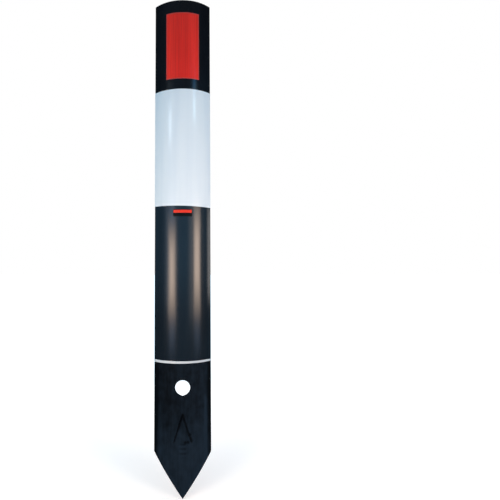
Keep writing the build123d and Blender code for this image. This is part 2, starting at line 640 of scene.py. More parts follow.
def prism_tree() -> NodeTree:
    """A geometry tree that covers a reflector's plate with rows of slanted prism cells, bent to the blade.

    Returns:
        The tree.
    """
    tree, size = new_tree("Prism cells", {
        "Geometry": ("Plate",),
        "Float": ("Width", "Height", "Relief", "Stripe", "Radius", "Side", "Centre", "Middle"),
        "Int": ("Columns", "Rows", "Seed"), "Material": ("Finish",)})
    columns, rows = [add_node(tree, MATH, {0: size[label], 1: 1.0}, operation="ADD")
                     for label in ("Columns", "Rows")]
    grid = add_node(tree, "GeometryNodeMeshGrid", {"Size X": size["Width"], "Size Y": size["Height"],
                                                   "Vertices X": columns, "Vertices Y": rows})
    spots = add_node(tree, "GeometryNodeMeshToPoints", {"Mesh": grid}, mode="FACES")
    across, along, off = add_node(tree, SPLIT, {0: add_node(tree, "GeometryNodeInputPosition")}).outputs
    # One cell is a four-sided pyramid on a unit square, with its tip off the middle
    tip_offset = (0.3, 0.12, 0.0)
    cell = add_node(tree, "GeometryNodeMeshCone", {"Vertices": 4, "Radius Top": 0.0,
                                                   "Radius Bottom": math.sqrt(0.5), "Depth": 1.0})
    cell = add_node(tree, "GeometryNodeTransform", {"Geometry": cell, "Rotation": (0, 0, math.pi / 4)})
    tip = add_node(tree, COMPARE, {0: off, 1: 0.5}, operation="GREATER_THAN", data_type="FLOAT")
    cell = add_node(tree, MOVE, {"Geometry": cell, "Selection": tip, "Offset": tip_offset})
    # Neighbouring stripes of cells slant opposite ways
    stripe = add_node(tree, MATH, {0: across, 1: size["Stripe"]}, operation="DIVIDE")
    stripe = add_node(tree, MATH, {0: stripe}, operation="FLOOR")
    half_turn = add_node(tree, MATH, {0: stripe, 1: math.pi}, operation="MULTIPLY")
    facing = add_node(tree, JOIN, {2: half_turn})
    # The lowest cells have this share of the relief
    lowest = 0.8
    uneven = add_node(tree, "FunctionNodeRandomValue", {2: lowest, 3: 1.0, "Seed": size["Seed"]},
                      data_type="FLOAT").outputs[1]
    relief = add_node(tree, MATH, {0: uneven, 1: size["Relief"]}, operation="MULTIPLY")
    wide, tall = [add_node(tree, MATH, {0: size[whole], 1: size[count]}, operation="DIVIDE")
                  for whole, count in (("Width", "Columns"), ("Height", "Rows"))]
    scale = add_node(tree, JOIN, {0: wide, 1: tall, 2: relief})
    cells = add_node(tree, "GeometryNodeInstanceOnPoints", {"Points": spots, "Instance": cell,
                                                            "Rotation": facing, "Scale": scale})
    cells = add_node(tree, "GeometryNodeRealizeInstances", {"Geometry": cells})
    angle = add_node(tree, MATH, {0: across, 1: size["Radius"]}, operation="DIVIDE")
    angle = add_node(tree, MATH, {0: angle, 1: size["Side"]}, operation="MULTIPLY")
    radius = add_node(tree, MATH, {0: off, 1: size["Side"], 2: size["Radius"]}, operation="MULTIPLY_ADD")
    height = add_node(tree, MATH, {0: along, 1: size["Middle"]}, operation="ADD")
    place = bent_place(tree, angle, radius, height, size["Centre"])
    bent = add_node(tree, MOVE, {"Geometry": cells, "Position": place})
    whole = add_node(tree, "GeometryNodeJoinGeometry", {0: size["Plate"]})
    tree.links.new(bent.outputs[0], whole.inputs[0])
    close_tree(tree, whole, size["Finish"])
    return tree


def grown(name: str, tree: NodeTree, sizes: dict, start: Mesh | None = None) -> Object:
    """Runs a geometry tree and keeps its result as a plain mesh.

    Args:
        name: Name of the piece.
        tree: The geometry tree.
        sizes: Values of its named inputs.
        start: The mesh that it builds on, if any.
    Returns:
        The piece, without a modifier.
    """
    piece = new_object(start or bpy.data.meshes.new(name))
    modifier = piece.modifiers.new(tree.name, "NODES")
    modifier.node_group = tree
    for item in tree.interface.items_tree:
        if item.name in sizes:
            modifier[item.identifier] = sizes[item.name]
    evaluated = piece.evaluated_get(bpy.context.evaluated_depsgraph_get())
    made = bpy.data.meshes.new_from_object(evaluated)
    made.materials.pop(index=0)  # the empty slot that mesh primitives bring
    piece.modifiers.clear()
    piece.data = made
    made.name = name
    return piece


def bare_material(name: str) -> Material:
    """Makes a material with an empty tree.

    Args:
        name: Its name.
    Returns:
        The material.
    """
    material = bpy.data.materials.new(name)
    material.use_nodes = True
    material.node_tree.nodes.clear()
    return material


@dataclass(frozen=True)
class Finish:
    """What every finish has: its material's name, its colours, its shine, its relief and its clear coat."""

    name: str
    colour: str
    second: str
    roughness: Span
    specular: float = 0.5
    mix: Span = (0.35, 0.75)  # values of its pattern between which the first colour turns into the second
    shine_mix: Span = (0.3, 0.7)  # values of its pattern between which the roughness changes
    relief: float = 0.0  # depth in mm
    coat_weight: float = 0.0
    coat_roughness: float = 0.03

    def patterns(self, tree: NodeTree) -> Patterns:
        """Adds the finish's patterns. Each finish has its own."""
        raise NotImplementedError

    def material(self) -> Material:
        """The finished material, made once.

        Returns:
            The material.
        """
        if self.name in bpy.data.materials:
            return bpy.data.materials[self.name]
        material = bare_material(self.name)
        tree = material.node_tree
        tint, gloss, relief = self.patterns(tree)
        (start, end), (matt_start, matt_end), (low, high) = self.mix, self.shine_mix, self.roughness
        share = add_node(tree, MAP_RANGE, {"Value": tint, "From Min": start, "From Max": end},
                         interpolation_type="SMOOTHSTEP")
        tone = add_node(tree, MIX, {0: share, 6: linear(self.colour), 7: linear(self.second)},
                        data_type="RGBA").outputs[2]
        matt = add_node(tree, MAP_RANGE, {"Value": gloss, "From Min": matt_start, "From Max": matt_end,
                                          "To Min": low, "To Max": high})
        inputs = {"Base Color": tone, "Roughness": matt, "Specular IOR Level": self.specular,
                  "Coat Weight": self.coat_weight, "Coat Roughness": self.coat_roughness}
        if relief:
            inputs["Normal"] = add_node(tree, "ShaderNodeBump", {"Height": relief,
                                                                 "Distance": self.relief * MM})
        shader = add_node(tree, "ShaderNodeBsdfPrincipled", inputs)
        add_node(tree, "ShaderNodeOutputMaterial", {"Surface": shader})
        return material

    def noise(self, tree: NodeTree, grain: Grain, detail: float, place: Source | None = None) -> Node:
        """Adds noise whose grain has a real size.

        Args:
            tree: The material's tree.
            grain: Size of the grain.
            detail: How many finer layers it has.
            place: The place that it follows, which is that on the unrolled blade if none is given.
        Returns:
            Its value, from 0 to 1.
        """
        place = place or add_node(tree, "ShaderNodeAttribute", attribute_name=MARK).outputs["Vector"]
        scale = tuple(1 / (size * MM) for size in grain)
        scaled = add_node(tree, VECTOR_MATH, {0: place, 1: scale}, operation="MULTIPLY")
        return add_node(tree, "ShaderNodeTexNoise", {"Vector": scaled, "Scale": 1.0, "Detail": detail})


@dataclass(frozen=True)
class ExtrudedPolymer(Finish):
    """Extruded black polyolefin: a satin skin with lengthwise die lines and a faint blue-grey bloom."""

    mix: Span = (0.4, 0.75)
    relief: float = 0.02
    bloom: Grain = (45.0, 45.0, 135.0)
    die_lines: Grain = (7.0, 30.0, 420.0)  # real ones are under 1 mm apart and would not show

    def patterns(self, tree: NodeTree) -> Patterns:
        """Puts bloom in the colour and die lines in the gloss and the relief."""
        lines = self.noise(tree, self.die_lines, detail=3.0)
        return self.noise(tree, self.bloom, detail=5.0), lines, lines


@dataclass(frozen=True)
class Creases:
    """The bent creases in the stake's wall below the barb's root, with ridges between them. Millimetres."""

    pitch: float = 12.2
    centre: float = 60.0  # height above the barb's root of the point that they bend round
    first: float = 63.0  # distance of the first crease from that point
    last: float = 87.4
    beside: Fade = Fade(6.0, 13.0, 1.0, 0.0, middle=0.0)  # they run out along the arc
    depth: float = 0.35
    # strength of the painted shade in the creases and the painted light on the ridges
    darkness: float = 0.16

    @cached_property
    def fades(self) -> tuple[Fade, Fade, Fade]:
        """How they run out: on both sides of the middle crease, along the arc and up to the barb's root."""
        half, middle = (self.last - self.first) / 2, (self.last + self.first) / 2
        return Fade(half, half + self.pitch, 1.0, 0.0, middle), self.beside, Fade(0.0, -self.pitch / 4)

    def sunk(self, arc: float, up: float) -> float:
        """How far the wall is pressed in.

        Args:
            arc: Arc from the middle of the front, in metres.
            up: Height above the barb's root, in metres.
        Returns:
            The depth in metres, below 0 on a ridge.
        """
        away = math.hypot(arc, up - self.centre * MM)
        wave = math.cos(math.tau * (away / MM - self.first) / self.pitch)
        shown = math.prod(fade.at(length) for fade, length in zip(self.fades, (away, arc, up)))
        return self.depth * MM * wave * shown

    def shade(self, tree: NodeTree, place: Source, root: float) -> Source:
        """Adds their painted shade and light: dark creases with pale ridges between them.

        Args:
            tree: The material's tree.
            place: Place on the unrolled blade.
            root: Height of the barb's root, in metres.
        Returns:
            How much they pale the surface, below 0 where they darken it.
        """
        arc, _, height = add_node(tree, SPLIT, {0: place}).outputs
        up = add_node(tree, MATH, {0: height, 1: root}, operation="SUBTRACT")
        away = distance(tree, place, (0.0, root / MM + self.centre))
        pace = math.tau / (self.pitch * MM)
        turns = add_node(tree, MATH, {0: away, 1: pace, 2: -self.first * MM * pace},
                         operation="MULTIPLY_ADD")
        wave = add_node(tree, MATH, {0: turns}, operation="COSINE")
        level = add_node(tree, MATH, {0: wave, 1: -self.darkness}, operation="MULTIPLY")
        for fade, length in zip(self.fades, (away, arc, up)):
            level = add_node(tree, MATH, {0: level, 1: fade.over(tree, length)}, operation="MULTIPLY")
        return level


CREASES = Creases()


@dataclass(frozen=True)
class ScuffedPolymer(Finish):
    """The same polymer where it goes into the ground: dull and mottled with soil, with a paler line beside each
    long edge and painted shade on the long edges.

    Painted shade darkens it towards the left and lies along the barb's cuts and in the cut walls, with a painted
    shadow at the barb's lower corner; the wall is creased below the barb's root, with painted shade in the
    creases. Lengths are in mm.
    A level above 0 pales the surface and one below 0 darkens it.
    """

    mix: Span = (0.13, 1.03)
    relief: float = 0.05
    mottle: Grain = (16.0, 16.0, 22.4)
    scuffs: Grain = (5.0, 30.0, 70.0)  # real ones are finer and would not show
    scuff_share: float = 0.35  # the rest of the wear is mottle
    pale_lines: tuple[Fade, Fade] = (Fade(0.0, 8.0, 0.6, 0.0, middle=65.0),  # a paler line beside each long edge
                               Fade(0.0, 8.0, 0.12, 0.0, middle=-62.0))
    pale_line_start: Fade = Fade(-60.0, -140.0)  # the paler lines start below the hole
    edges: Fade = Fade(68.0, 80.0, 0.0, -0.45, middle=0.0)  # painted shade: the long edges are painted dark
    cut_wall_shade: Fade = Fade(1.88, 1.6, 0.0, -1.0, middle=2.0)  # painted shade: the cut walls are dark, up to just under both faces
    soil: Fade = Fade(-110.0, -250.0, 0.0, 0.3)  # the soil has paled it towards the tip
    lean: Fade = Fade(-75.0, 75.0, -0.14, 0.05)  # painted shade: darker towards the left, which the lights reach less, and a little paler towards the right
    cut_shade: Fade = Fade(0.0, 4.5, -0.45, 0.0)  # painted shade beside the cuts
    cut_shade_at_root: float = 0.4  # share of the painted shade at the barb's root, which moves least
    corner_shadow: Fade = Fade(1.0, 6.5, -0.36, 0.0)  # a painted shadow round each spot at the barb's lower corner
    corner_shadow_spots: tuple[Span, ...] = ((19.0, -189.0), (22.0, -198.0), (24.5, -204.0), (15.0, -208.0),
                                     (7.0, -208.5))  # arc and height

    def shade_along_cuts(self, tree: NodeTree, arc: Source, height: Source) -> Source:
        """Adds the painted shade along the two slanting cuts of the barb.

        Args:
            tree: The material's tree.
            arc: Arc from the middle of the front.
            height: Height above the ground line.
        Returns:
            Its level, below 0.
        """
        low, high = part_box("anchor_barb")
        half, tall = high.x, high.z - low.z
        slant = math.hypot(half, tall)
        aside = add_node(tree, MATH, {0: arc}, operation="ABSOLUTE")
        across = add_node(tree, MATH, {0: aside, 1: tall / slant}, operation="MULTIPLY")
        off = add_node(tree, MATH, {0: height, 1: half / slant, 2: across}, operation="MULTIPLY_ADD")
        level = replace(self.cut_shade, middle=high.z * half / slant / MM).over(tree, off)
        root, apex, reach = low.z / MM, high.z / MM, self.cut_shade.end
        for fade in (Fade(root, root + reach), Fade(root, apex, self.cut_shade_at_root),
                     Fade(apex, apex + reach, 1.0, 0.0)):
            level = add_node(tree, MATH, {0: level, 1: fade.over(tree, height)}, operation="MULTIPLY")
        return level

    def patterns(self, tree: NodeTree) -> Patterns:
        """Puts mottle, scuffs, soil and painted shade in the colour, mottle in the gloss and scuffs in the relief.

        Args:
            tree: The material's tree.
        Returns:
            The three patterns.
        """
        mottle = self.noise(tree, self.mottle, detail=6.0)
        scuffs = self.noise(tree, self.scuffs, detail=4.0)
        place = add_node(tree, "ShaderNodeAttribute", attribute_name=MARK).outputs["Vector"]
        arc, depth, height = add_node(tree, SPLIT, {0: place}).outputs
        started = self.pale_line_start.over(tree, height)
        # Soil, paler lines, and painted shade and shadow
        marks = [
            *(add_node(tree, MATH, {0: started, 1: pale_line.over(tree, arc)}, operation="MULTIPLY")
              for pale_line in self.pale_lines),
            self.edges.over(tree, arc),
            self.cut_wall_shade.over(tree, depth),
            self.soil.over(tree, height),
            self.lean.over(tree, arc),
            self.shade_along_cuts(tree, arc, height),
            CREASES.shade(tree, place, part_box("anchor_barb")[0].z),
            *(self.corner_shadow.over(tree, distance(tree, place, spot)) for spot in self.corner_shadow_spots),
        ]
        wear_and_shade = add_node(tree, MIX, {0: self.scuff_share, 2: mottle, 3: scuffs}, data_type="FLOAT")
        for mark in marks:
            wear_and_shade = add_node(tree, MATH, {0: wear_and_shade, 1: mark}, operation="ADD")
        return wear_and_shade, mottle, scuffs


@dataclass(frozen=True)
class VinylFilm(Finish):
    """Self-adhesive cast vinyl: a satin, even film with faint lengthwise tension and a fine orange peel."""

    relief: float = 0.012
    tension: Grain = (22.0, 22.0, 440.0)
    peel: Grain = (4.0, 4.0, 4.0)  # real peel is about 1 mm and would not show

    def patterns(self, tree: NodeTree) -> Patterns:
        """Puts tension in the colour and the gloss and orange peel in the relief."""
        tension = self.noise(tree, self.tension, detail=2.0)
        return tension, tension, self.noise(tree, self.peel, detail=2.0)


@dataclass(frozen=True)
class PrismaticFilm(Finish):
    """Metallised prism sheeting under a clear skin: deep colour, lighter in streaks, with painted light on the
    bent sides.

    Its prism cells are geometry.
    """

    mix: Span = (0.2, 1.0)
    coat_weight: float = 0.15
    coat_roughness: float = 0.12
    streaks: Grain = (4.35, math.inf, 261.0)  # half as wide as a stripe of cells
    painted_light_span: Span = (12.0, 46.0)  # painted light: the bent sides are lighter between these places, in mm
    painted_light_level: float = 0.3

    def patterns(self, tree: NodeTree) -> Patterns:
        """Puts streaks in the colour and the gloss, with painted light at the sides.

        Args:
            tree: The material's tree.
        Returns:
            The patterns, without a relief.
        """
        place = add_node(tree, "ShaderNodeTexCoord").outputs["Object"]
        streaks = self.noise(tree, self.streaks, detail=3.0, place=place)
        across, _, _ = add_node(tree, SPLIT, {0: place}).outputs
        aside = add_node(tree, MATH, {0: across}, operation="ABSOLUTE")
        start, end = self.painted_light_span
        # Painted light that makes the bent sides lighter
        side = add_node(tree, MAP_RANGE, {"Value": aside, "From Min": start * MM, "From Max": end * MM,
                                          "To Min": 0.0, "To Max": self.painted_light_level})
        return add_node(tree, MATH, {0: streaks, 1: side}, operation="ADD"), streaks, None


@dataclass(frozen=True)
class PressedSheet(Finish):
    """A pressed plastic sheet, even and a little cloudy: a film's sealed border or the foam behind it."""

    mix: Span = (0.35, 0.7)
    cloud: Grain = (9.0, 9.0, 9.0)

    def patterns(self, tree: NodeTree) -> Patterns:
        """Puts clouds in the colour and the gloss."""
        clouds = self.noise(tree, self.cloud, detail=3.0)
        return clouds, clouds, None


# Satin black that mirrors the lights in soft streaks, and a dull grey-black where the ground has worn it
BLADE_BLACK = ExtrudedPolymer("extruded black polymer", "#0a0e14", "#0e141b", (0.17, 0.22), 0.667)
STAKE_BLACK = ScuffedPolymer("scuffed black polymer", "#05080d", "#1a2531", (0.5, 0.66), 0.05)
# Clean bluish white with a soft gloss, and the same gone grey with soil
BAND_WHITE = VinylFilm("satin white vinyl", "#e4e9f0", "#dee4ed", (0.1, 0.14))
TAPE_WHITE = VinylFilm("soiled white vinyl tape", "#c4c8cf", "#b9bec6", (0.25, 0.32), 0.4)
# Flat printing colours
LABEL_BLACK = VinylFilm("satin black vinyl", "#05070a", "#0a0c10", (0.4, 0.5), 0.12)
LABEL_RED = VinylFilm("satin red vinyl", "#e83a26", "#dc3020", (0.35, 0.45), 0.2)
# Deep, glittering colour inside a paler, flatter border, on a matt grey sheet
PRISM_RED = PrismaticFilm("red prismatic film", "#d4271f", "#fc3325", (0.28, 0.36), 0.2)
PRISM_WHITE = PrismaticFilm("white prismatic film", "#d6d6d5", "#f4f2f0", (0.24, 0.32))
SEAL_RED = PressedSheet("sealed red border", "#d0423b", "#c63731", (0.3, 0.4), 0.3)
SEAL_WHITE = PressedSheet("sealed white border", "#f2f1f0", "#e8e7e6", (0.3, 0.4))
BACKING_GREY = PressedSheet("adhesive foam sheet", "#8d9093", "#7d8083", (0.55, 0.7), 0.3)


def height_span(node: str) -> Span:
    """Lowest and highest height of a CAD node."""
    low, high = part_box(node)
    return low.z, high.z


@dataclass
class SubAssembly:
    """A group of pieces made together, with their finishes in the order of the pieces."""

    curve: BladeCurve
    finishes: tuple[Finish, ...] = ()
    pieces: list[Object] = field(default_factory=list, init=False)

    def keep(self, piece: Object, slot: str, nodes: list[str], body: str | None = None) -> None:
        """Notes a piece, hides the CAD nodes that it stands for and puts it on its body.

        Args:
            piece: The piece.
            slot: Name of the record's material slot; not used.
            nodes: Names of CAD nodes.
            body: Name of the body that it rides on, or none where it bends between two.
        """
        if nodes:
            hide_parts(*nodes)
        if body:
            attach(piece, body)
        self.pieces.append(piece)

    def length(self, name: str, bottom: float, top: float, rows: int) -> Object:
        """Makes a plain length of the blade, in the first finish.

        Args:
            name: Name of the piece.
            bottom: Its lower end.
            top: Its upper end.
            rows: Rows of points along it.
        Returns:
            The piece.
        """
        tree = bpy.data.node_groups.get("Blade length") or blade_length_tree()
        return grown(name, tree, {
            "Middle radius": self.curve.middle_radius, "Half wall": self.curve.wall / 2,
            "Flat angle": self.curve.flat_angle, "Edge round": self.curve.edge_round,
            "Centre": self.curve.centre_y, "Bottom": bottom, "Top": top, "Rows": rows,
            "Finish": self.finishes[0].material(), **LENGTH_GRID})

    def wrap(self, name: str, node: str, lap: float, skews: Span) -> Object:
        """Makes a film wrapped right round the blade, with its ends lapped on the rear.

        Args:
            name: Name of the piece.
            node: The CAD node that it stands for.
            lap: Width of the lap.
            skews: How much lower its lower and its upper edge are on the right than on the left.
        Returns:
            The piece.
        """
        bottom, top = height_span(node)
        outside = GLUE + FILM
        model = bmesh.new()
        mark = model.verts.layers.float_vector.new(MARK)
        rings = []
        for grow, level in ((GLUE, bottom), (outside, bottom), (outside, top), (GLUE, top)):
            ring = []
            for angle, depth in self.curve.ring(grow, *WRAP_STEPS):
                on_rear = depth > self.curve.wall / 2 and abs(angle) * self.curve.rear_radius < lap / 2
                if on_rear and grow == outside:
                    depth += FILM
                spot = self.curve.polar(angle, self.curve.middle_radius - depth, level)
                spot.z -= skews[level == top] * spot.x / self.curve.width
                corner = model.verts.new(spot)
                corner[mark] = Vector((angle * self.curve.middle_radius, depth, spot.z))
                ring.append(corner)
            rings.append(ring)
        for low, high in zip(rings, rings[1:] + rings[:1]):
            for corners in zip(low, low[1:] + low[:1], high[1:] + high[:1], high):
                model.faces.new(corners)
        return new_object(finished_mesh(name, model))

    def build(self) -> None:
        """Makes the pieces and puts them on their bodies."""
        raise NotImplementedError

    def dress(self) -> None:
        """Gives its finish to each piece that didn't get it from its geometry tree."""
        for piece, finish in zip(self.pieces, self.finishes):
            if not piece.data.materials:
                piece.data.materials.append(finish.material())

    def report(self) -> None:
        """Logs each piece with its size in triangles."""
        for piece in self.pieces:
            triangles = sum(len(face.vertices) - 2 for face in piece.data.polygons)
            LOG.info("%s: %d triangles, %s", piece.name, triangles, piece.data.materials[0].name)


@dataclass
class Stake(SubAssembly):
    """The pointed stake with its hole, the barb cut out of it and the tape at the ground line."""

    finishes: tuple[Finish, ...] = (STAKE_BLACK, STAKE_BLACK, TAPE_WHITE)
    pitch: float = 3.0 * MM
    point_height: float = 109.0 * MM
    radial_arc: Span = (0.5, 0.95)  # shares of half the blade between which cuts turn from square to radial
    radial_height: Span = (-4.0 * MM, 1.0 * MM)  # heights above the point between which they do so
    hole_steps: int = 72
    cut_round: float = 0.5 * MM
    kerf_round: float = 0.06 * MM
    barb_kerf: float = 1.5 * MM
    rear_kerf: float = 0.25 * MM  # the cut narrows towards the rear
    barb_bevel: float = 1.2 * MM  # the barb's cut sides lean in, so that no daylight shows through the cut
    draw_reach: float = 20.0 * MM  # the stake's rear face is drawn in this far round the barb
    root_gap: float = 0.2 * MM
    barb_bend: float = 26.0 * MM  # height over which the barb's root bends
    tape_lap: float = 10.0 * MM
    tape_skews: Span = (-3.0 * MM, -1.4 * MM)  # the tape was put on by hand, rising to the right

    @cached_property
    def tip(self) -> float:
        """Height of the stake's tip."""
        return height_span("stake_blade")[0]

    @cached_property
    def barb(self) -> tuple[float, float, float]:
        """Half the barb's width, its height and the level of its root."""
        low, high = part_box("anchor_barb")
        return high.x, high.z - low.z, low.z - self.root_gap

    def drawn_in(self, arc: float, height: float, share: float, widen: float, inward: float) -> Vector:
        """A point in the wall, drawn towards the middle of the barb's root behind the front face.

        Cuts run square in the middle and at the stake's point, and radially at the long edges above it.

        Args:
            arc: Its place along the curve.
            height: Its height.
            share: Its depth as a share of the wall.
            widen: How far the cut's side lies outside the barb's at the front.
            inward: How far the cut's side moves inwards from front to rear.
        Returns:
            The point.
        """
        half, tall, root = self.barb
        stretch = math.hypot(half, tall) / half
        scale = 1 - share * inward * stretch / (tall + widen * stretch)
        arc, height = arc * scale, root + (height - root) * scale
        edge = ease(*self.radial_arc, abs(arc) / self.curve.half_arc)
        above = ease(*self.radial_height, height - (self.tip + self.point_height))
        return self.curve.cut_point(arc, height, share, 1 - edge * above)

    def barb_place(self, arc: float, height: float, share: float) -> Vector:
        """A point in the barb's wall, between its leaning sides."""
        return self.drawn_in(arc, height, share, 0.0, self.barb_bevel)

    def shell_place(self, arc: float, height: float, share: float) -> Vector:
        """A point in the stake's wall, whose side of the cut leans in under the barb's, with its creases.

        Args:
            arc: Its place along the curve.
            height: Its height.
            share: Its depth as a share of the wall.
        Returns:
            The point.
        """
        half, tall, root = self.barb
        up = height - root
        outside = (abs(arc) * tall + up * half - half * tall) / math.hypot(half, tall) - self.barb_kerf
        near = 1 - ease(0.0, self.draw_reach, max(outside, -up))
        inward = self.barb_kerf + self.barb_bevel - self.rear_kerf
        spot = self.drawn_in(arc, height, share, self.barb_kerf, inward * near)
        spot.y += CREASES.sunk(arc, up)
        return spot

    def outline(self) -> Run:
        """The stake's outline: square at the ground line, rounded along its sides, pointed below.

        Returns:
            Its run, counter-clockwise from the tip.
        """
        half_arc, side, cut = self.curve.half_arc, self.curve.edge_round, self.cut_round
        edge_across = self.curve.front_radius * math.sin(self.curve.half_angle)
        shoulder = self.tip + self.point_height * edge_across / (self.curve.width / 2)
        flank = divided([(0.0, self.tip, cut), (edge_across, shoulder, cut)], self.pitch)
        rising = flank[:len(flank) // 2]
        right = [(self.curve.arc_at(across), height, edge) for across, height, edge in rising]
        left = [(-arc, height, edge) for arc, height, edge in reversed(right[1:])]
        return [*right, (half_arc, shoulder, side), (half_arc, 0.0, 0.0), (-half_arc, 0.0, side),
                (-half_arc, shoulder, cut), *left]

    def hole(self) -> Run:
        """The round hole, straight through the wall.

        Returns:
            Its run, clockwise.
        """
        mount = next(m for m in frame["record"]["mounts"] if m["name"] == "anchor_hole")
        radius, level = mount["dims"]["r_mm"] * MM, mount["pos_m"][2]
        turns = [-2 * math.pi * n / self.hole_steps for n in range(self.hole_steps)]
        return [(self.curve.arc_at(radius * math.cos(t)), level + radius * math.sin(t), self.cut_round)
                for t in turns]

    def barb_outline(self, widen: float) -> Run:
        """The barb's triangle, counter-clockwise, widened square to its slanting sides.

        Args:
            widen: How far the slanting sides move out.
        Returns:
            Its run.
        """
        half, tall, root = self.barb
        slant = math.hypot(half, tall)
        low_half = half + widen * slant / tall + self.root_gap * half / tall
        apex = root + self.root_gap + tall + widen * slant / half
        arc = self.curve.arc_at(low_half)
        return [(-arc, root, 0.0), (arc, root, self.kerf_round), (0.0, apex, self.kerf_round)]

    def build(self) -> None:
        """Makes the stake's shell, the barb's tongue and the ground tape."""
        # The slot runs clockwise, so its edges' roundings stand at their other ends
        left, right, apex = self.barb_outline(self.barb_kerf)
        slot = [(*apex[:2], self.kerf_round), (*right[:2], 0.0), (*left[:2], self.kerf_round)]
        shell = plate_mesh("stake_shell", [self.outline(), self.hole(), slot], self.pitch, self.curve.wall,
                           self.shell_place)
        self.keep(new_object(shell), "black_polymer", ["stake_blade"], "stake")
        tongue = new_object(plate_mesh("barb_tongue", [self.barb_outline(0.0)], self.pitch, self.curve.wall,
                                       self.barb_place))
        self.keep(tongue, "black_polymer", ["anchor_barb"])
        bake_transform(tongue)
        tape = self.wrap("ground_tape", "ground_line", self.tape_lap, self.tape_skews)
        self.keep(tape, "white_film", ["ground_line"], "stake")


@dataclass
class FoldZone(SubAssembly):
    """The lengths of the blade that bend when the post is run over, one for each bend line."""

    finishes: tuple[Finish, ...] = (BLADE_BLACK,)
    rows: int = 15

    @cached_property
    def joints(self) -> list[dict]:
        """The joints on the bend lines, from the lowest up."""
        return [joint for joint in frame["joints"] if joint["name"].startswith("fold_")]

    @cached_property
    def half(self) -> float:
        """Half the way from one bend line to the next."""
        return (self.joints[1]["pos_m"][2] - self.joints[0]["pos_m"][2]) / 2

    @property
    def top(self) -> float:
        """Where the fold zone ends and the upper blade starts."""
        return self.joints[-1]["pos_m"][2] + self.half

    def build(self) -> None:
        """Makes the lengths, each from half way below its bend line to half way above it."""
        for n, joint in enumerate(self.joints, 1):
            height = joint["pos_m"][2]
            low, high = height - self.half, height + self.half
            piece = self.length(f"fold_length_{n}", 0.0 if n == 1 else low, high, self.rows)
            link = f"flex_link_{n}"
            self.keep(piece, "black_polymer", [link] if link in frame["nodes"] else [])
            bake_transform(piece)


@dataclass
class UpperPost(SubAssembly):
    """The upper blade, its white band and the blank label below the band."""

    finishes: tuple[Finish, ...] = (BLADE_BLACK, BAND_WHITE, LABEL_BLACK, LABEL_RED)
    bottom: float = 0.0
    rows: int = 40
    band_lap: float = 14.0 * MM
    band_skews: Span = (3.6 * MM, 0.0)  # its lower edge was trimmed by hand, a little askew
    label_pitch: float = 2.0 * MM
    label_round: float = 2.0 * MM
    label_edge: float = 0.08 * MM
    bar_film: float = 0.1 * MM
    bar_height: float = 8.0 * MM
    bar_margin: float = 1.2 * MM
    bar_round: float = 1.0 * MM
    bar_edge: float = 0.03 * MM

    def build(self) -> None:
        """Makes the upper blade, the white band, and the label with a plain raised bar."""
        shell = self.length("upper_shell", self.bottom, height_span("upper_blade")[1], self.rows)
        self.keep(shell, "black_polymer", ["upper_blade"], "upper_post")
        band = self.wrap("band_wrap", "white_band", self.band_lap, self.band_skews)
        self.keep(band, "white_film", ["white_band"], "upper_post")
        seat = FilmSeat(self.curve, Face.FRONT, GLUE, FILM)
        low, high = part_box("blank_label")
        width = seat.full_arc(high.x, 0.5)
        plain = rounded_rectangle(width, low.z, high.z, self.label_round, self.label_edge)
        label = new_object(seat.sheet("label_film", [plain], self.label_pitch))
        self.keep(label, "label_film", ["blank_label"], "upper_post")
        over = FilmSeat(self.curve, Face.FRONT, GLUE + FILM, self.bar_film)
        top = high.z - self.bar_margin
        raised = rounded_rectangle(width - 2 * self.bar_margin, top - self.bar_height, top, self.bar_round,
                                   self.bar_edge)
        bar = new_object(over.sheet("label_bar", [raised], self.label_pitch))
        self.keep(bar, "label_film", [], "upper_post")


